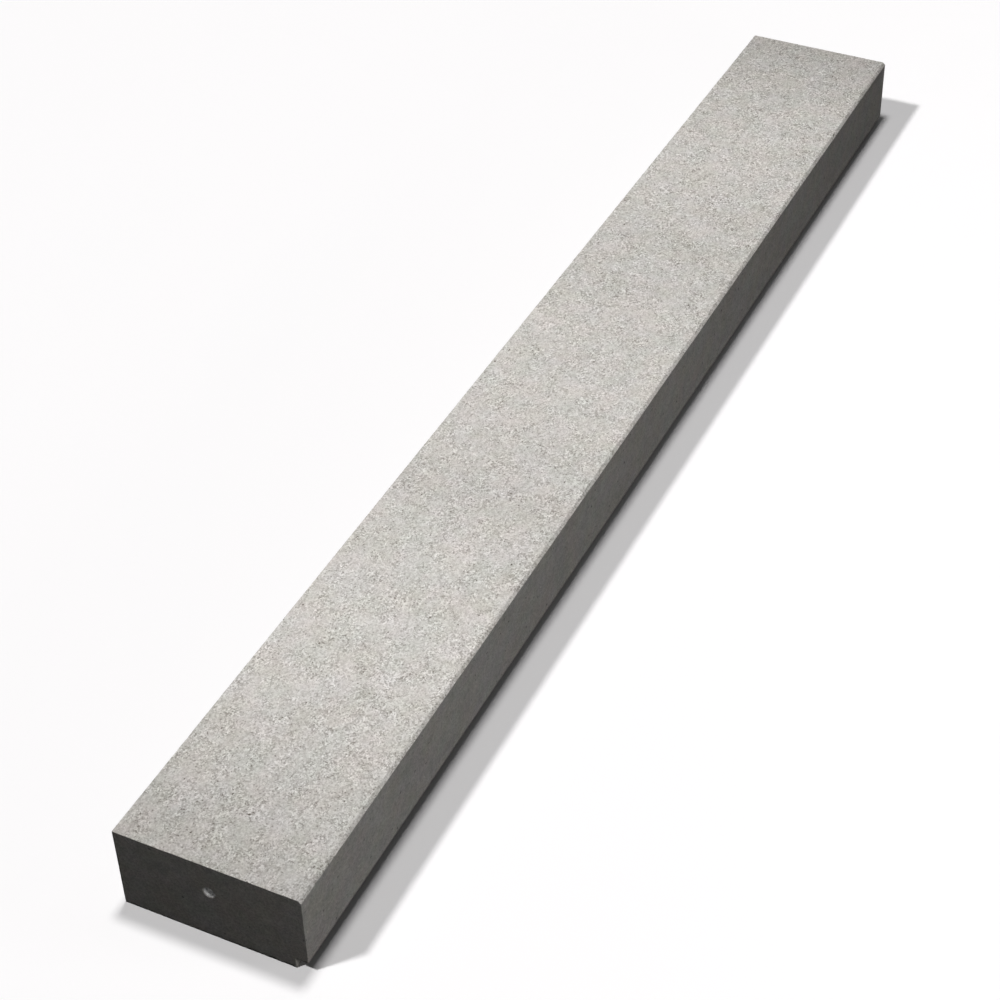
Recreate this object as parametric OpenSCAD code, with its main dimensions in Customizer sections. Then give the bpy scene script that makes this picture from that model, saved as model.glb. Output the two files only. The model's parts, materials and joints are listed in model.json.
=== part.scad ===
// Long concrete step block: a solid cast step with a chamfered upper front
// edge, an overlap rebate under the front face that laps the step below,
// and a cast-in steel lifting socket in each end.
// X runs along the step, the front riser faces -Y and Z is up.
// The origin is the middle of the underside.

/* [Block] */
// Length of the step
block_length = 2500; // [500:100:3000]
// Depth of the tread, from front to rear
block_depth = 300; // [250:10:400]
// Rise of the step
block_height = 150; // [130:5:200]

/* [Front edge] */
// Leg of the chamfer along the upper front edge
nosing_chamfer = 5; // [2:1:10]
// How far the rebate reaches in behind the front face
rebate_depth = 20; // [10:1:40]
// Height of the rebate above the underside
rebate_height = 20; // [10:1:40]

/* [Lifting sockets] */
// Height of the sockets' axis above the underside
socket_height = 94; // [70:1:100]
// Outer diameter of the sleeve
socket_outer_d = 20; // [19:1:21]
// Diameter of the sleeve's bore
socket_bore_d = 18; // [12:1:18]
// Length of the sleeve, with its closed end
socket_length = 80; // [50:5:120]
// Thickness of the sleeve's closed end
socket_end_wall = 2; // [1:0.5:5]
// Diameter of the tapered recess at the end face
recess_mouth_d = 21; // [21:1:40]
// Depth of the recess, from the end face to the sleeve's rim
recess_depth = 1; // [1:1:8]

/* [Hidden] */

LEFT = -1;
RIGHT = 1;
CUT = 1; // how far a cutter stands out past the face that it opens
CONCRETE = "#C3C0BA";
ZINC = "#A9ABAD";

half_length = block_length / 2;
front_y = -block_depth / 2;
rear_y = block_depth / 2;

$fn = 96;

// Outline of the step across its length, as [y, z] points from the rear
// of the underside round by the front face to the rear of the tread.
module cross_section() {
    polygon([
        [rear_y, 0],
        [front_y + rebate_depth, 0],
        [front_y + rebate_depth, rebate_height],
        [front_y, rebate_height],
        [front_y, block_height - nosing_chamfer],
        [front_y + nosing_chamfer, block_height],
        [rear_y, block_height],
    ]);
}

// Places its children on the lifting axis at one end of the block:
// their z = 0 is the end face and their +Z points into the concrete.
module at_end(side) {
    translate([side * half_length, 0, socket_height])
        rotate([0, -side * 90, 0])
            children();
}

// The tapered recess, and the pocket behind it that the sleeve fills.
module socket_pocket() {
    widening = (recess_mouth_d - socket_outer_d) / recess_depth;
    translate([0, 0, -CUT])
        cylinder(
            h = recess_depth + CUT,
            d1 = recess_mouth_d + CUT * widening,
            d2 = socket_outer_d
        );
    cylinder(h = recess_depth + socket_length, d = socket_outer_d);
}

// The block is cast in one piece: a straight prism with a pocket in each end.
module step_block() {
    color(CONCRETE)
        difference() {
            translate([-half_length, 0, 0])
                rotate([90, 0, 90])
                    linear_extrude(height = block_length)
                        cross_section();
            for (side = [LEFT, RIGHT])
                at_end(side)
                    socket_pocket();
        }
}

// A blind steel sleeve that takes the lifting pin, open at the end face.
module lifting_socket(side) {
    color(ZINC)
        at_end(side)
            translate([0, 0, recess_depth])
                difference() {
                    cylinder(h = socket_length, d = socket_outer_d);
                    translate([0, 0, -CUT])
                        cylinder(
                            h = socket_length - socket_end_wall + CUT,
                            d = socket_bore_d
                        );
                }
}

step_block();
lifting_socket(LEFT);  // lifting_socket_left
lifting_socket(RIGHT);  // lifting_socket_right
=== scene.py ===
"""Looks of a long concrete step block: its granular tread, its formed sides and its two lifting sockets.

Lengths are in metres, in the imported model's frame: X along the step, the front riser at -Y, Z up.
"""

import json
import math
import random
from collections import namedtuple

import bpy
import numpy as np
from mathutils import Matrix, Vector, noise
from mathutils.geometry import delaunay_2d_cdt


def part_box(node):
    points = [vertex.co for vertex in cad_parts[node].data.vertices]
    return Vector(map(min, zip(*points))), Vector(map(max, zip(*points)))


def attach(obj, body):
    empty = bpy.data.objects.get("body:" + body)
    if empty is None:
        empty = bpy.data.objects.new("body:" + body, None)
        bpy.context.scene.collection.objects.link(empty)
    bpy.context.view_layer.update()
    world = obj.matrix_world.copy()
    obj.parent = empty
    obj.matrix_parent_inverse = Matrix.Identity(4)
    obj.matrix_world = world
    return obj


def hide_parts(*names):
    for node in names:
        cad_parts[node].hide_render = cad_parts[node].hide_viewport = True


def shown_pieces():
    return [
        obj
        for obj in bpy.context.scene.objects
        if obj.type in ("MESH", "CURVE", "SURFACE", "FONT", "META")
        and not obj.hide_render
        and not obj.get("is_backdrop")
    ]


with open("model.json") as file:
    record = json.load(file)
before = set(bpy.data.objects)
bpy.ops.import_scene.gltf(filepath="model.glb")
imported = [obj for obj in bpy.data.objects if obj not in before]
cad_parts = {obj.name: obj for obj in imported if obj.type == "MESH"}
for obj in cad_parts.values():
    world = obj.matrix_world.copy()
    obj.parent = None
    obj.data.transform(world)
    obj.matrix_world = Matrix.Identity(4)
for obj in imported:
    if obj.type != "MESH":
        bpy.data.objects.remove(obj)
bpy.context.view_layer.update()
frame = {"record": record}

MM = 0.001
SEED = 7

# ---------------------------------------------------------------- sizes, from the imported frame

BLOCK_LOW, BLOCK_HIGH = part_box("step_block")
SOCKET_LOW, SOCKET_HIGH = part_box("lifting_socket_left")
MOUNTS = {mount["name"]: mount for mount in frame["record"]["mounts"]}
SIDES = {"left": -1, "right": 1}  # the ends of the block, and the sign of their X

HALF_LENGTH = BLOCK_HIGH.x
FRONT_Y, REAR_Y = BLOCK_LOW.y, BLOCK_HIGH.y
TREAD_Z = BLOCK_HIGH.z
REBATE_Y = MOUNTS["overlap_stop"]["pos_m"][1]
REBATE_Z = MOUNTS["overlap_seat"]["pos_m"][2]
CHAMFER = 5 * MM

SOCKET_Z = (SOCKET_LOW.z + SOCKET_HIGH.z) / 2
SOCKET_R = (SOCKET_HIGH.z - SOCKET_LOW.z) / 2
BORE_R = MOUNTS["lifting_socket_left_bore"]["dims"]["r_mm"] * MM
BORE_LENGTH = MOUNTS["lifting_socket_left_bore"]["dims"]["length_mm"] * MM
RECESS_DEPTH = SOCKET_LOW.x - BLOCK_LOW.x
POCKET_DEPTH = SOCKET_HIGH.x - BLOCK_LOW.x
RECESS_R = 10.5 * MM

# ---------------------------------------------------------------- the block's mesh

STATION_STEP = 4.3 * MM  # between the cross-sections along the block
GRID_STEP = 4.5 * MM  # between the points inside an end face
GRID_JITTER = 0.2  # how far those points stray, in steps
GRID_CLEARANCE = 0.6  # and how far they keep from the rebate and the recess, in steps
ARRIS = 0.25 * MM  # how far the worn edges cut each corner
NEAR_ARRIS = 0.9 * MM  # a row of points this close to each edge keeps it crisp
COLLAR = 0.5 * MM  # and a ring of points this close to each recess's mouth
CORNER_WAY = 0.7  # a corner's points move in along this much of both its sides' normals
MOUTH_STEPS = 64  # points round the recess
INSIDE_EDGES = 1  # delaunay_2d_cdt: keep only what lies inside the given outline
SAME_POINT = 1e-7  # delaunay_2d_cdt: points closer than this count as one

# The sides of the cross-section, each with the corner that it starts at, its rows of points, whether it
# has the tread's granular finish, and its share of the width of the bake map's strips.
Side = namedtuple("Side", "y z rows granular map_share")
SECTION = [
    Side(REAR_Y, 0, 10, False, 0.17),  # the underside
    Side(REBATE_Y, 0, 3, False, 0.02),  # the rebate's back wall
    Side(REBATE_Y, REBATE_Z, 3, False, 0.02),  # the rebate's upper face
    Side(FRONT_Y, REBATE_Z, 24, False, 0.16),  # the front riser
    Side(FRONT_Y, TREAD_Z - CHAMFER, 1, True, 0.02),  # the chamfer
    Side(FRONT_Y + CHAMFER, TREAD_Z, 80, True, 0.46),  # the tread
    Side(REAR_Y, TREAD_Z, 14, False, 0.15),  # the rear face
]

# The recess round a socket as (depth behind the end face, radius), and the pocket that holds the sleeve.
RECESS = [
    (0.0, RECESS_R),
    (0.2 * MM, RECESS_R - 0.15 * MM),
    (RECESS_DEPTH, SOCKET_R + 0.1 * MM),
    (RECESS_DEPTH + 0.3 * MM, SOCKET_R),
    (POCKET_DEPTH, SOCKET_R),
]

# The bake's map holds the long faces as two strips side by side, one for each half of the length,
# above a row with the end faces, the sockets' pockets and the pockets' floors.
BAKE_MAP = "OFBake"
MAP_GAP = 0.006
END_ROW = 0.13
END_SPAN = 0.3
POCKET_SPAN = 0.12
POCKET_FLOOR_SPAN = 0.04
POCKET_FLOOR_HEIGHTS = {-1: 0.25, 1: 0.75}  # of each side's floor, as shares of the row

# Relief as (size of the lumps, depth in mm, seed of the noise).
GRANULAR_RELIEF = [(6 * MM, 0.22, 1), (13 * MM, 0.14, 2)]
FORMED_RELIEF = [(16 * MM, 0.05, 3), (90 * MM, 0.08, 4)]
WEAR = (10 * MM, 0.8, 5)
WEAR_THRESHOLD = 0.05  # this much, in mm, comes off the wear, so that the edges are worn only in places
GRANULAR_DEPTH = 0.12  # the relief's mean depth under the true face, in mm
FORMED_DEPTH = 0.05
LEAST_DEPTH = 0.02  # in mm; it keeps the mesh inside the CAD model's box
NOISE_STEPS = (13.7, 7.3, 3.1)  # from one seed's noise to the next
FACES_UP = 0.5  # the normals of the tread and the chamfer have a Z above this


def spread(length, rows):
    """Distances along a length: an arris at each end, a row close to it, and even rows between."""
    first = ARRIS + NEAR_ARRIS
    return np.concatenate([[ARRIS], np.linspace(first, length - first, rows + 1), [length - ARRIS]])


def unroll(rows, lengths):
    """Where each point round the section lies across a strip, from 0 to 1, with the first again at 1."""
    shares = np.array([side.map_share for side in SECTION])
    starts = np.cumsum(shares) - shares
    sides = zip(starts, shares, rows, lengths)
    unrolled = np.concatenate([start + share * row / length for start, share, row, length in sides])
    unrolled = np.append(unrolled, 1 + unrolled[0])
    return (unrolled - unrolled[0]) / np.ptp(unrolled)


class Section:
    """The points round the block's cross-section, with the side that each lies on."""

    def __init__(self):
        corners = np.array([(side.y, side.z) for side in SECTION])
        sides = np.roll(corners, -1, axis=0) - corners
        lengths = np.linalg.norm(sides, axis=1)
        along = sides / lengths[:, None]
        rows = [spread(length, side.rows) for length, side in zip(lengths, SECTION)]
        placed = [corner + row[:, None] * way for corner, row, way in zip(corners, rows, along)]
        self.points = np.concatenate(placed)
        self.side = np.concatenate([np.full(len(row), i) for i, row in enumerate(rows)])
        self.normals = np.column_stack([-along[:, 1], along[:, 0]])
        self.outward = self.normals[self.side]
        self.granular = np.array([float(side.granular) for side in SECTION])[self.side]
        self.at_corner = np.concatenate([[1] + [0] * (len(row) - 2) + [1] for row in rows]) > 0
        self.unrolled = unroll(rows, lengths)

    def inset(self, distance):
        """The same points moved into the block, with the corner ones shared between both sides."""
        before = np.roll(self.side, 1)
        after = np.roll(self.side, -1)
        other = np.where(before != self.side, before, after)
        corner_way = CORNER_WAY * (self.outward + self.normals[other])
        return self.points - distance * np.where(self.at_corner[:, None], corner_way, self.outward)

    def on_map(self, x, half):
        """Where the ring at this X lies on the bake's map, in the strip of half 0, left, or 1, right."""
        u = (half + MAP_GAP + (1 - 2 * MAP_GAP) * self.unrolled) / 2
        reach = (abs(x) if (x > 0) == half else -abs(x)) / HALF_LENGTH
        v = END_ROW + MAP_GAP + (1 - END_ROW - 3 * MAP_GAP) * (reach + MAP_GAP)
        return np.column_stack([u, np.full(len(u), v)])


class Skin:
    """A mesh under construction.

    Each point has its outward direction, its finish and whether it wears, and each face has its corners'
    places on the bake's map.
    """

    def __init__(self):
        self.points, self.outward, self.granular, self.worn = [], [], [], []
        self.faces, self.on_map = [], []
        self.count = 0

    def add(self, x, places, outward, granular=0.0, worn=0.0):
        """Adds points at one X, and gives back their numbers."""
        size = len(places)
        self.points.append(np.column_stack([np.full(size, x), places]))
        self.outward.append(np.broadcast_to(outward, (size, 3)))
        self.granular.append(np.broadcast_to(granular, size))
        self.worn.append(np.broadcast_to(worn, size))
        self.count += size
        return np.arange(self.count - size, self.count)

    def join(self, left, right, left_map, right_map):
        """Quads between two closed rings that run clockwise as seen from +X, left at the lower X."""
        quads = np.stack([left, right, np.roll(right, -1), np.roll(left, -1)], 1)
        corners = np.stack([left_map[:-1], right_map[:-1], right_map[1:], left_map[1:]], 1)
        self.faces += quads.tolist()
        self.on_map += corners.tolist()

    def join_strip(self, section, left, right, left_x, right_x):
        """Quads between two rings of the long faces, in the map's strip of the half that they lie in."""
        half = left_x + right_x > 0
        self.join(left, right, section.on_map(left_x, half), section.on_map(right_x, half))


def lattice(mouth_radius):
    """Points spread inside an end face, clear of its outline and of the recess."""
    rng = random.Random(SEED)
    places = []
    z = TREAD_Z - GRID_STEP
    while z > GRID_STEP / 2:
        y = FRONT_Y + GRID_STEP
        while y < REAR_Y - GRID_STEP / 2:
            stray_y = rng.uniform(-GRID_JITTER, GRID_JITTER) * GRID_STEP
            stray_z = rng.uniform(-GRID_JITTER, GRID_JITTER) * GRID_STEP
            places.append((y + stray_y, z + stray_z))
            y += GRID_STEP
        z -= GRID_STEP
    places = np.array(places)
    clear = GRID_STEP * GRID_CLEARANCE
    from_mouth = np.linalg.norm(places - (0, SOCKET_Z), axis=1)
    in_rebate = (places[:, 0] < REBATE_Y + clear) & (places[:, 1] < REBATE_Z + clear)
    return places[(from_mouth > mouth_radius + clear) & ~in_rebate]


def circle(radius):
    """Points round a socket's centre, clockwise as seen from +X like the section."""
    turn = np.linspace(0, -2 * math.pi, MOUTH_STEPS, endpoint=False)
    return np.column_stack([radius * np.cos(turn), SOCKET_Z + radius * np.sin(turn)])


def round_edges(first, count):
    """The edges round a closed ring of points, as pairs of numbers."""
    return [(first + i, first + (i + 1) % count) for i in range(count)]


def add_end(skin, section, ring, side):
    """Closes the block's first or last ring with an end face, its recess and the pocket behind."""
    x = side * HALF_LENGTH
    ring_x = x - side * ARRIS
    rim = skin.add(x, section.inset(ARRIS), (side, 0, 0))
    if side < 0:
        skin.join_strip(section, rim, ring, x, ring_x)
    else:
        skin.join_strip(section, ring, rim, ring_x, x)
    mouth = add_end_face(skin, section, rim, side)
    add_pocket(skin, mouth, side)


def add_end_face(skin, section, rim, side):
    """Fills the rim with triangles, apart from the mouth of the recess, and gives back the mouth's points."""
    facing = (side, 0, 0)
    x = side * HALF_LENGTH
    mouth_radius = RECESS[0][1]
    inner = skin.add(x, section.inset(ARRIS + NEAR_ARRIS), facing)
    mouth = skin.add(x, circle(mouth_radius), facing)
    collar = skin.add(x, circle(mouth_radius + COLLAR), facing)
    fill = skin.add(x, lattice(mouth_radius + COLLAR), facing)
    numbers = np.concatenate([rim, inner, mouth, collar, fill])
    places = np.concatenate(skin.points)[numbers][:, 1:]
    map_x = MAP_GAP if side < 0 else 2 * MAP_GAP + END_SPAN
    shares = (places - (FRONT_Y, 0)) / (REAR_Y - FRONT_Y, TREAD_Z)
    on_map = shares * (END_SPAN, END_ROW - MAP_GAP) + (map_x, 0)
    first = len(rim) + len(inner)
    edges = round_edges(0, len(rim)) + round_edges(first, len(mouth))
    coords = [Vector(place) for place in places]
    _, _, triangles, origin, _, _ = delaunay_2d_cdt(coords, edges, [], INSIDE_EDGES, SAME_POINT)
    for triangle in triangles:
        corners = np.array([origin[i][0] for i in triangle])
        in_mouth = min(corners) >= first and max(corners) < first + len(mouth)
        if not in_mouth:
            face = corners[::side]
            skin.faces.append(numbers[face].tolist())
            skin.on_map.append(on_map[face].tolist())
    return mouth


def add_pocket(skin, mouth, side):
    """The recess and the pocket behind it, closed by its floor."""
    map_x = 3 * MAP_GAP + 2 * END_SPAN + (0 if side < 0 else MAP_GAP + POCKET_SPAN)
    across = np.linspace(map_x, map_x + POCKET_SPAN, MOUTH_STEPS + 1)
    last = mouth
    last_map = np.column_stack([across, np.zeros(MOUTH_STEPS + 1)])
    for depth, radius in RECESS[1:]:
        ring = skin.add(side * (HALF_LENGTH - depth), circle(radius), (0, 0, 0))
        ring_map = last_map + (0, (END_ROW - MAP_GAP) / (len(RECESS) - 1))
        if side < 0:
            skin.join(ring, last, ring_map, last_map)
        else:
            skin.join(last, ring, last_map, ring_map)
        last, last_map = ring, ring_map
    centre = (1 - MAP_GAP - POCKET_FLOOR_SPAN / 2, END_ROW * POCKET_FLOOR_HEIGHTS[side])
    on_map = (circle(1.0) - (0, SOCKET_Z)) * POCKET_FLOOR_SPAN / 2 + centre
    skin.faces.append(last[::-side].tolist())
    skin.on_map.append(on_map[::-side].tolist())


def build_skin():
    """The whole block: a ring at each station along it, and an end face at each end."""
    section = Section()
    skin = Skin()
    outward = np.column_stack([np.zeros(len(section.points)), section.outward])
    stations = spread(2 * HALF_LENGTH, round(2 * HALF_LENGTH / STATION_STEP)) - HALF_LENGTH
    last = last_x = None
    for x in stations:
        at_end = x in (stations[0], stations[-1])
        worn = np.maximum(section.at_corner, at_end)
        ring = skin.add(x, section.points, outward, section.granular, worn)
        if last is None:
            add_end(skin, section, ring, SIDES["left"])
        else:
            skin.join_strip(section, last, ring, last_x, x)
        last, last_x = ring, x
    add_end(skin, section, last, SIDES["right"])
    return skin


def noise_at(points, size, seed):
    """Smooth noise from about -1 to 1 at each point, with lumps of about the given size."""
    shift = Vector([seed * step for step in NOISE_STEPS])
    return np.array([noise.noise(Vector(point) / size + shift) for point in points])


def lumps(points, layers):
    """Layers of noise added up, in mm."""
    return sum(depth * noise_at(points, size, seed) for size, depth, seed in layers)


def relief(points, granular, worn):
    """How far each point lies below the true face."""
    granular_level = GRANULAR_DEPTH + lumps(points, GRANULAR_RELIEF)
    formed_level = FORMED_DEPTH + lumps(points, FORMED_RELIEF)
    level = granular * granular_level + (1 - granular) * formed_level
    wear = worn * np.maximum(lumps(points, [WEAR]) - WEAR_THRESHOLD, 0)
    return np.maximum(level + wear, LEAST_DEPTH) * MM


def without_unused(points, faces):
    """Leaves out the points that no face uses."""
    used = sorted({number for face in faces for number in face})
    renumbered = {old: new for new, old in enumerate(used)}
    return points[used], [[renumbered[number] for number in face] for face in faces]


def add_object(name, data):
    made = bpy.data.objects.new(name, data)
    bpy.context.scene.collection.objects.link(made)
    return made


def make_object(name, points, faces):
    """A smooth-shaded mesh object."""
    mesh = bpy.data.meshes.new(name)
    mesh.from_pydata(points, [], faces)
    mesh.shade_smooth()
    return add_object(name, mesh)


def make_block():
    """The block's mesh, with its relief and its own map for the bake."""
    skin = build_skin()
    points = np.concatenate(skin.points)
    outward = np.concatenate(skin.outward)
    depth = relief(points, np.concatenate(skin.granular), np.concatenate(skin.worn))
    points, faces = without_unused(points - outward * depth[:, None], skin.faces)
    block = make_object("cast_block", points.tolist(), faces)
    places = np.array([place for corners in skin.on_map for place in corners])
    block.data.uv_layers.new(name=BAKE_MAP).uv.foreach_set("vector", places.ravel())
    return block


def set_finishes(block, granular, formed):
    """Gives the tread and the chamfer the first material, and every other face the second."""
    block.data.materials.append(granular)
    block.data.materials.append(formed)
    normals = np.empty(len(block.data.polygons) * 3)
    centres = np.empty(len(normals))
    block.data.polygons.foreach_get("normal", normals)
    block.data.polygons.foreach_get("center", centres)
    on_top = (normals[2::3] > FACES_UP) & (centres[2::3] > TREAD_Z - CHAMFER)
    block.data.polygons.foreach_set("material_index", np.where(on_top, 0, 1))


# ---------------------------------------------------------------- the lifting sockets

SOCKET_STEPS = 64
SOCKET_GAP = 0.02 * MM  # keeps the sleeve's outside just clear of the concrete
RIM = 0.4 * MM  # rounding of the sleeve's rim
CENTRE_R = BORE_R / 50  # the profile starts and ends this close to the axis


def make_socket(name, side):
    """A turned blind sleeve: its profile is (depth behind the end face, radius)."""
    outer = SOCKET_R - SOCKET_GAP
    back = POCKET_DEPTH - SOCKET_GAP
    floor = RECESS_DEPTH + BORE_LENGTH
    profile = [
        (floor, CENTRE_R),
        (floor, BORE_R - RIM),
        (floor - RIM, BORE_R),
        (RECESS_DEPTH + 1.5 * RIM, BORE_R),
        (RECESS_DEPTH + 0.4 * RIM, BORE_R + 0.5 * RIM),
        (RECESS_DEPTH, BORE_R + 1.4 * RIM),
        (RECESS_DEPTH, outer - 0.8 * RIM),
        (RECESS_DEPTH + 0.8 * RIM, outer),
        (back - RIM, outer),
        (back, outer - RIM),
        (back, CENTRE_R),
    ]
    angles = np.linspace(0, 2 * math.pi, SOCKET_STEPS, endpoint=False)
    points, faces = [], []
    for depth, radius in profile:
        for angle in angles * -side:
            x = side * (HALF_LENGTH - depth)
            points.append((x, radius * math.cos(angle), SOCKET_Z + radius * math.sin(angle)))
    for ring in range(len(profile) - 1):
        a, b = ring * SOCKET_STEPS, (ring + 1) * SOCKET_STEPS
        for i in range(SOCKET_STEPS):
            j = (i + 1) % SOCKET_STEPS
            faces.append((a + i, a + j, b + j, b + i))
    faces.append(tuple(range(SOCKET_STEPS))[::-1])
    faces.append(tuple(range(len(points) - SOCKET_STEPS, len(points))))
    return make_object(name, points, faces)


# ---------------------------------------------------------------- materials

SPOT_WAVES = 2.5  # lumps to a cell in the noise that makes a spot's outline uneven
SPOT_STRAY = 0.5  # how far that outline strays, in cells
SPOT_EDGE = 0.5  # where a spot starts to fade, as a share of its radius
CLUSTERED = (0.35, 0.65)  # noise that thins spots out, and noise that crowds them
TINT_CHANGE = (0.38, 0.62)  # noise at which a tint is fully warm, and fully cool
CAST_CHANGE = (0.35, 0.65)  # noise at which it is greenest, and pinkest
CAST_SIZE = 0.6  # the size of the green and pink areas, as a share of the warm and cool ones
CLOUDY = {"detail": 3.0, "roughness": 0.6}  # noise with finer lumps on its large ones


class Nodes:
    """Short calls for building one material's nodes."""

    def __init__(self, name):
        self.material = bpy.data.materials.new(name)
        self.material.use_nodes = True
        self.tree = self.material.node_tree
        self.shader = self.tree.nodes["Principled BSDF"]
        self.place = self.new("ShaderNodeTexCoord").outputs["Object"]

    def new(self, kind, **settings):
        node = self.tree.nodes.new(kind)
        for name, value in settings.items():
            setattr(node, name, value)
        return node

    def feed(self, socket, value):
        """Links an output to this input, or sets the input's own value."""
        if isinstance(value, bpy.types.NodeSocket):
            self.tree.links.new(value, socket)
        else:
            socket.default_value = value

    def maths(self, operation, *values):
        """The result of a Math node on outputs or plain numbers."""
        node = self.new("ShaderNodeMath", operation=operation)
        for socket, value in zip(node.inputs, values):
            self.feed(socket, value)
        return node.outputs[0]

    def axes(self, vector):
        """The X, Y and Z of a vector."""
        split = self.new("ShaderNodeSeparateXYZ")
        self.feed(split.inputs[0], vector)
        return split.outputs

    def along(self):
        """The place along the block, in metres from its middle."""
        return self.axes(self.place)[0]

    def facing(self):
        """The X, Y and Z of the way that the surface faces."""
        return self.axes(self.new("ShaderNodeNewGeometry").outputs["True Normal"])

    def noise(self, size, detail=2.0, roughness=0.5):
        """Noise from 0 to 1 with lumps of about this size in metres."""
        node = self.new("ShaderNodeTexNoise")
        self.feed(node.inputs["Vector"], self.place)
        node.inputs["Scale"].default_value = 1 / size
        node.inputs["Detail"].default_value = detail
        node.inputs["Roughness"].default_value = roughness
        return node.outputs[0]

    def grains(self, size):
        """Cells of about this size in metres, with a random value from 0 to 1 each."""
        node = self.new("ShaderNodeTexVoronoi")
        self.feed(node.inputs["Vector"], self.place)
        node.inputs["Scale"].default_value = 1 / size
        split = self.new("ShaderNodeSeparateColor")
        self.feed(split.inputs[0], node.outputs["Color"])
        return split.outputs[0]

    def spots(self, size, share, radius, clusters=None):
        """Uneven spots: in this share of cells of this size, a spot this much of the cell in radius.

        Noise given as clusters crowds the spots in some places and thins them out in others.
        """
        wobble = self.new("ShaderNodeTexNoise")
        self.feed(wobble.inputs["Vector"], self.place)
        wobble.inputs["Scale"].default_value = SPOT_WAVES / size
        shift = self.new("ShaderNodeVectorMath", operation="MULTIPLY_ADD")
        self.feed(shift.inputs[0], wobble.outputs["Color"])
        shift.inputs[1].default_value = (size * SPOT_STRAY,) * 3
        self.feed(shift.inputs[2], self.place)
        cells = self.new("ShaderNodeTexVoronoi")
        self.feed(cells.inputs["Vector"], shift.outputs[0])
        cells.inputs["Scale"].default_value = 1 / size
        split = self.new("ShaderNodeSeparateColor")
        self.feed(split.inputs[0], cells.outputs["Color"])
        limit = share
        if clusters is not None:
            limit = self.maths("MULTIPLY", self.range(clusters, *CLUSTERED), 2 * share)
        chosen = self.maths("LESS_THAN", split.outputs[0], limit)
        round_spot = self.range(cells.outputs["Distance"], radius * SPOT_EDGE, radius, 1.0, 0.0)
        return self.maths("MULTIPLY", chosen, round_spot)

    def ramp(self, value, *stops):
        """A colour or grey for each (position, colour) stop."""
        node = self.new("ShaderNodeValToRGB")
        self.feed(node.inputs[0], value)
        elements = node.color_ramp.elements
        while len(elements) < len(stops):
            elements.new(0.5)
        for element, (position, colour) in zip(elements, stops):
            element.position = position
            element.color = (*colour, 1) if isinstance(colour, tuple) else (colour, colour, colour, 1)
        return node.outputs[0]

    def range(self, value, low, high, to_low=0.0, to_high=1.0):
        """Maps low..high to to_low..to_high, smoothly and clamped."""
        node = self.new("ShaderNodeMapRange", interpolation_type="SMOOTHSTEP")
        for socket, number in zip(node.inputs, (value, low, high, to_low, to_high)):
            self.feed(socket, number)
        return node.outputs[0]

    def mix(self, kind, factor, a, b):
        """Blends two colours, as plain numbers or as outputs."""
        node = self.new("ShaderNodeMix", data_type="RGBA", blend_type=kind)
        colours = [socket for socket in node.inputs if socket.type == "RGBA"]
        self.feed(node.inputs["Factor"], factor)
        for socket, value in zip(colours, (a, b)):
            self.feed(socket, (*value, 1) if isinstance(value, tuple) else value)
        return next(socket for socket in node.outputs if socket.type == "RGBA")

    def total(self, layers):
        """The weighted sum of textures that each run from 0 to 1, centred on 0."""
        total = 0.0
        for texture, weight in layers:
            total = self.maths("MULTIPLY_ADD", self.maths("SUBTRACT", texture, 0.5), weight, total)
        return total

    def plus(self, value, *layers):
        """The value with each (texture, weight) added to it."""
        for texture, weight in layers:
            value = self.maths("MULTIPLY_ADD", texture, weight, value)
        return value

    def grey(self, value, cast=0.0):
        """A grey, whose red departs from 1 by this share less than its green does, and its blue by more."""
        node = self.new("ShaderNodeCombineColor")
        for socket, share in zip(node.inputs, (1 - cast, 1.0, 1 + cast)):
            self.feed(socket, self.maths("MULTIPLY_ADD", value, share, 1 - share) if cast else value)
        return node.outputs[0]

    def tint(self, warm, cool, size, cast):
        """A colour that wanders between a warm and a cool one, and a little between green and pink."""
        blend = self.ramp(self.noise(size, **CLOUDY), *zip(TINT_CHANGE, (warm, cool)))
        green_and_pink = (1 - cast, 1.0, 1 - cast), (1.0, 1 - cast, 1.0)
        wander = self.ramp(self.noise(size * CAST_SIZE, **CLOUDY), *zip(CAST_CHANGE, green_and_pink))
        return self.mix("MULTIPLY", 1.0, blend, wander)

    def bump(self, height, depth):
        """Relief of this depth in metres where height goes from 0 to 1."""
        node = self.new("ShaderNodeBump")
        node.inputs["Distance"].default_value = depth
        self.feed(node.inputs["Height"], height)
        return node.outputs[0]

    def shade(self, colour, roughness, normal):
        """Links what varies over the surface to the shader."""
        self.feed(self.shader.inputs["Base Color"], colour)
        self.feed(self.shader.inputs["Roughness"], roughness)
        self.feed(self.shader.inputs["Normal"], normal)


WARM_TREAD, COOL_TREAD = (0.608, 0.577, 0.538), (0.598, 0.582, 0.552)
# The sides' colours are darker than the tread's: partly the mould finish, partly painted shade for the lesser
# light on the sides and ends.
WARM_SIDE, COOL_SIDE = (0.477, 0.453, 0.417), (0.463, 0.454, 0.434)
CEMENT = (0.42, 0.41, 0.385)
DULL_ZINC, BRIGHT_ZINC = (0.40, 0.40, 0.395), (0.46, 0.46, 0.455)

CHAMFER_TO_TREAD = (0.75, 0.9)  # the Z of the normals, from the chamfer's to the tread's
CHAMFER_PAINTED_SHADE = 0.945  # painted shade: the chamfer's colour against the tread's, darker for the lesser light on its slope
FAR_HALF = (-0.1, 0.6)  # where along the block the tread's grain grows stronger
FAR_GRAIN = 1.18  # and how much stronger
GRAIN_CAST = 0.035  # makes the dark grains warmer than the bright ones

# Faint bands across the tread, as (distance from its middle, as a share of half the length, brightness).
TREAD_BANDS = [(0.08, 0.957), (0.32, 0.903), (0.56, 0.99), (0.76, 1.0), (0.96, 0.955)]


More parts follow.
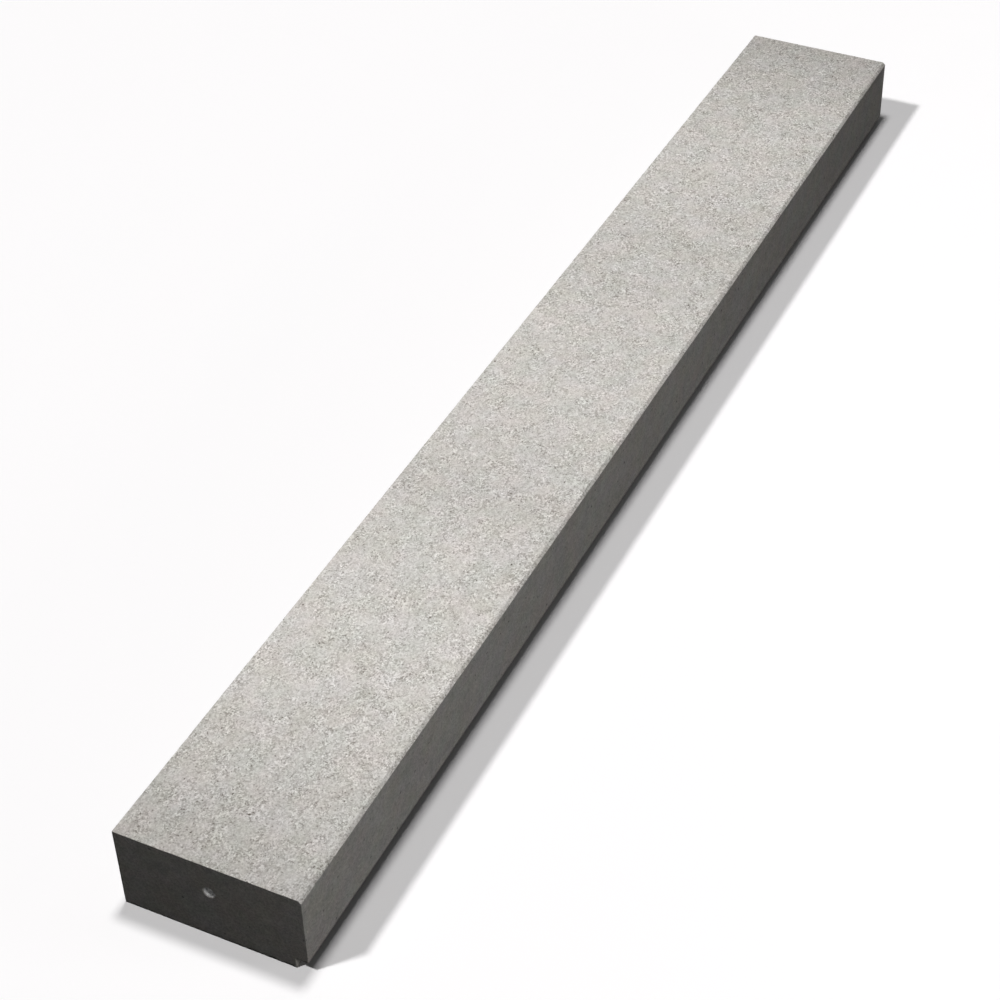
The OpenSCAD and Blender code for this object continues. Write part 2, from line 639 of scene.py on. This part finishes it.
def granular_concrete():
    """The tread: sand and fine stone in pale cement, with small dark pits and a few bright grains, and
    painted shade on the chamfer.
    """
    n = Nodes("concrete_tread")
    grains = n.total([(n.grains(2.2 * MM), 0.66), (n.grains(4.0 * MM), 0.30), (n.noise(9 * MM), 0.16)])
    patches = n.range(n.noise(26 * MM, **CLOUDY), 0.38, 0.62, to_low=0.52, to_high=1.13)
    grains = n.maths("MULTIPLY", grains, n.range(n.along(), *FAR_HALF, 1.0, FAR_GRAIN))
    clouds = n.total([(n.noise(19 * MM), 0.17), (n.noise(42 * MM), 0.17), (n.noise(100 * MM), 0.12)])
    small_pits = n.spots(5 * MM, share=0.26, radius=0.36, clusters=n.noise(60 * MM, **CLOUDY))
    pits = n.spots(22 * MM, share=0.50, radius=0.10)
    quartz = n.spots(16 * MM, share=0.30, radius=0.10)
    value = n.maths("MULTIPLY_ADD", grains, patches, clouds)
    value = n.plus(value, (small_pits, -0.33), (pits, -0.60), (quartz, 0.30))
    tint = n.tint(WARM_TREAD, COOL_TREAD, 70 * MM, cast=0.017)
    # Painted shade: the chamfer, which slopes towards the front, is coloured darker than the tread by the way
    # it faces.
    upward = n.facing()[2]
    grain_and_chamfer_shade = n.maths("ADD", 1.0, value)
    grain_and_chamfer_shade = n.maths("MULTIPLY", grain_and_chamfer_shade, n.range(upward, *CHAMFER_TO_TREAD, CHAMFER_PAINTED_SHADE, 1.0))
    from_middle = n.maths("DIVIDE", n.maths("ABSOLUTE", n.along()), HALF_LENGTH)
    banded = n.mix("MULTIPLY", 1.0, tint, n.ramp(from_middle, *TREAD_BANDS))
    colour = n.mix("MULTIPLY", 1.0, banded, n.grey(grain_and_chamfer_shade, GRAIN_CAST))
    n.shade(colour, n.range(value, -0.3, 0.3, to_low=0.95, to_high=0.8), n.bump(value, 0.8 * MM))
    n.shader.inputs["Specular IOR Level"].default_value = 0.12
    return n.material


def formed_concrete():
    """The sides: smoother from the mould and darker than the tread, partly for the mould finish and partly as
    painted shade for their lesser light, with faint stains and a few small pits.
    """
    n = Nodes("concrete_formed")
    layers = [
        (n.grains(2.4 * MM), 0.28),
        (n.noise(5 * MM), 0.28),
        (n.noise(11 * MM), 0.28),
        (n.noise(24 * MM), 0.22),
        (n.noise(60 * MM), 0.13),
        (n.noise(150 * MM), 0.11),
    ]
    pits = n.spots(15 * MM, share=0.50, radius=0.17)
    flecks = n.spots(20 * MM, share=0.40, radius=0.11)
    value = n.plus(n.total(layers), (pits, -0.50), (flecks, 0.38))
    tint = n.tint(WARM_SIDE, COOL_SIDE, 55 * MM, cast=0.028)
    colour = n.mix("MULTIPLY", 1.0, tint, n.grey(n.maths("ADD", 1.0, value)))
    n.shade(colour, n.range(value, -0.2, 0.2, to_low=0.9, to_high=0.75), n.bump(value, 0.15 * MM))
    n.shader.inputs["Specular IOR Level"].default_value = 0.05
    return n.material


def zinc_steel():
    """Dull zinc-plated steel, with cement dried on the parts that face out of the block."""
    n = Nodes("zinc_steel")
    blotch = n.noise(5 * MM, **CLOUDY)
    plating = n.ramp(blotch, (0.3, DULL_ZINC), (0.7, BRIGHT_ZINC))
    endward = n.facing()[0]
    cemented = n.range(n.maths("ABSOLUTE", endward), 0.5, 0.9)
    colour = n.mix("MIX", cemented, plating, CEMENT)
    roughness = n.range(blotch, 0.3, 0.7, to_low=0.65, to_high=0.5)
    n.shade(colour, roughness, n.bump(n.noise(0.8 * MM), 0.05 * MM))
    n.shader.inputs["Metallic"].default_value = 0.2
    return n.material


# ---------------------------------------------------------------- the pieces

block = make_block()
set_finishes(block, granular_concrete(), formed_concrete())
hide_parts("step_block")
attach(block, "root")

zinc = zinc_steel()
sockets = []
for end, sign in SIDES.items():
    socket = make_socket("socket_sleeve_" + end, sign)
    socket.data.materials.append(zinc)
    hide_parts("lifting_socket_" + end)
    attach(socket, "root")
    sockets.append(socket)

# ---------------------------------------------------------------- camera and floor

CAMERA_PLACE = Vector((-2.7942, -1.2604, 2.4441))
CAMERA_RIGHT = Vector((0.41018, -0.91200, 0.00085))
CAMERA_DOWN = Vector((-0.56914, -0.25670, -0.78114))
CAMERA_LENS = 77.96
CAMERA_SHIFT = (-0.08663, -0.06864)

FLOOR_SIZE = 40.0
FLOOR_SHOWN = (0.98, 0.968, 0.972, 1)  # the floor's colour to the camera
FLOOR_BOUNCE = 0.015  # and the grey that it lights the block with
AMBIENT = 0.022  # the light from all round
WHITE = (1, 1, 1, 1)


def make_camera():
    """The camera at the photograph's viewing angle."""
    data = bpy.data.cameras.new("camera")
    data.lens = CAMERA_LENS
    data.shift_x, data.shift_y = CAMERA_SHIFT
    right, up = CAMERA_RIGHT.normalized(), -CAMERA_DOWN.normalized()
    turn = Matrix((right, up, right.cross(up))).transposed().to_4x4()
    camera = add_object("camera", data)
    camera.matrix_world = Matrix.Translation(CAMERA_PLACE) @ turn
    bpy.context.scene.camera = camera


def seen_directly(tree):
    """1 for rays from the camera and for mirror and clear ones, 0 for those that gather light."""
    path = tree.nodes.new("ShaderNodeLightPath")
    total = path.outputs["Is Camera Ray"]
    for name in ("Is Glossy Ray", "Is Transmission Ray"):
        add = tree.nodes.new("ShaderNodeMath")
        add.operation = "MAXIMUM"
        tree.links.new(total, add.inputs[0])
        tree.links.new(path.outputs[name], add.inputs[1])
        total = add.outputs[0]
    return total


def floor_material():
    """White to the camera, but dark to the light, so that the floor doesn't brighten the block's sides."""
    material = bpy.data.materials.new("floor")
    material.use_nodes = True
    tree = material.node_tree
    tree.nodes.clear()
    shown = tree.nodes.new("ShaderNodeBsdfDiffuse")
    hidden = tree.nodes.new("ShaderNodeBsdfDiffuse")
    shown.inputs["Color"].default_value = FLOOR_SHOWN
    hidden.inputs["Color"].default_value = (FLOOR_BOUNCE,) * 3 + (1,)
    mix = tree.nodes.new("ShaderNodeMixShader")
    tree.links.new(seen_directly(tree), mix.inputs[0])
    tree.links.new(hidden.outputs[0], mix.inputs[1])
    tree.links.new(shown.outputs[0], mix.inputs[2])
    tree.links.new(mix.outputs[0], tree.nodes.new("ShaderNodeOutputMaterial").inputs["Surface"])
    return material


def make_floor():
    """A wide floor under the block."""
    half = FLOOR_SIZE / 2
    corners = [(-half, -half, 0), (half, -half, 0), (half, half, 0), (-half, half, 0)]
    mesh = bpy.data.meshes.new("floor")
    mesh.from_pydata(corners, [], [(0, 1, 2, 3)])
    floor = add_object("floor", mesh)
    mesh.materials.append(floor_material())
    floor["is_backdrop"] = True
    return floor


def make_world():
    """White to the camera, and a faint even light on the block."""
    world = bpy.data.worlds.new("studio")
    bpy.context.scene.world = world
    world.use_nodes = True
    tree = world.node_tree
    strength = tree.nodes.new("ShaderNodeMapRange")
    tree.links.new(seen_directly(tree), strength.inputs["Value"])
    strength.inputs["To Min"].default_value = AMBIENT
    strength.inputs["To Max"].default_value = 1.0
    background = tree.nodes["Background"]
    background.inputs["Color"].default_value = WHITE
    tree.links.new(strength.outputs[0], background.inputs["Strength"])


# ---------------------------------------------------------------- lamps


def group(name, *objects):
    """A collection for the lamps that light only these objects."""
    collection = bpy.data.collections.new(name)
    for member in objects:
        collection.objects.link(member)
    return collection


def round_lamp(name, kind, place, radius, power, receivers):
    """A lamp with a round source, of kind POINT or SPOT, that lights only its receivers."""
    data = bpy.data.lights.new(name, kind)
    data.shadow_soft_size = radius
    data.energy = power
    lamp = add_object(name, data)
    lamp.location = place
    lamp.light_linking.receiver_collection = receivers
    return lamp


def even_lamp(name, place, radius, level, receivers):
    """A round lamp that lights the whole floor to the same level, with nothing lost by distance or slant."""
    height = place[2]
    lamp = round_lamp(name, "POINT", place, radius, level * 4 * math.pi**2 * height**2, receivers)
    lamp.data.use_nodes = True
    tree = lamp.data.node_tree
    falloff = tree.nodes.new("ShaderNodeLightFalloff")
    falloff.inputs["Strength"].default_value = height**-3
    slant = tree.nodes.new("ShaderNodeMath")
    slant.operation = "MULTIPLY"
    tree.links.new(falloff.outputs["Constant"], slant.inputs[0])
    tree.links.new(tree.nodes.new("ShaderNodeLightPath").outputs["Ray Length"], slant.inputs[1])
    tree.links.new(slant.outputs[0], tree.nodes["Emission"].inputs["Strength"])


def bulb(name, place, radius, power, receivers):
    """A round lamp that shines all round."""
    round_lamp(name, "POINT", place, radius, power, receivers)


def aim_at(lamp, aim):
    """Turns the lamp to shine at this point."""
    lamp.rotation_mode = "QUATERNION"
    lamp.rotation_quaternion = (Vector(aim) - lamp.location).to_track_quat("-Z", "Y")


def spot(name, place, aim, angle, blend, radius, power, receivers):
    """A spot lamp whose beam, this many degrees wide, fades towards its edge."""
    lamp = round_lamp(name, "SPOT", place, radius, power, receivers)
    lamp.data.spot_size = math.radians(angle)
    lamp.data.spot_blend = blend
    aim_at(lamp, aim)


def panel(name, place, aim, size, power):
    """A soft panel of this width and height, which lights everything."""
    data = bpy.data.lights.new(name, "AREA")
    data.shape = "RECTANGLE"
    data.size, data.size_y = size
    data.energy = power
    lamp = add_object(name, data)
    lamp.location = place
    aim_at(lamp, aim)


make_camera()
floor = make_floor()
make_world()
floor_only = group("floor_only", floor)
part_only = group("part_only", *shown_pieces())
sockets_only = group("sockets_only", *sockets)

# On the floor: the wide strip of shadow in front, the narrow one beside the near end and under the front,
# and a little light in the shadow at the front's foot.
even_lamp("strip_shadow_lamp", (-4.413, 2.87, 7.803), radius=0.37, level=0.508, receivers=floor_only)
even_lamp("contact_shadow_lamp", (-0.09, 0.14, 5.75), radius=0.44, level=0.458, receivers=floor_only)
bulb("foot_lamp", (0.9, -0.55, 1.6), radius=0.25, power=2.2, receivers=floor_only)

# On the block: its tread and rear, its near end and front, its far end, and its front once more.
spot(
    "overhead_spot", (0.0, 0.95, 5.0), aim=(0.03, 0.0, 0.15), angle=44.1, blend=0.78,
    radius=0.5, power=950, receivers=part_only,
)
bulb("fill_lamp", (-1.875, -1.775, 1.925), radius=0.12, power=62, receivers=part_only)
bulb("far_end_lamp", (3.25, 0.0, 0.12), radius=0.02, power=10.5, receivers=part_only)
panel("front_panel", (-0.35, -2.95, 0.8), aim=(-0.35, -0.15, 0.08), size=(0.8, 0.5), power=7.6)

# In the sockets: the crescent of wall that the photograph shows, near the mouth and deeper in.
bulb("socket_lamp", (-1.78, -0.7, 2.2), radius=0.06, power=34, receivers=sockets_only)
bulb("socket_depth_lamp", (-2.78, -0.6, 1.22), radius=0.06, power=16, receivers=sockets_only)

bpy.context.scene.view_settings.view_transform = "Standard"
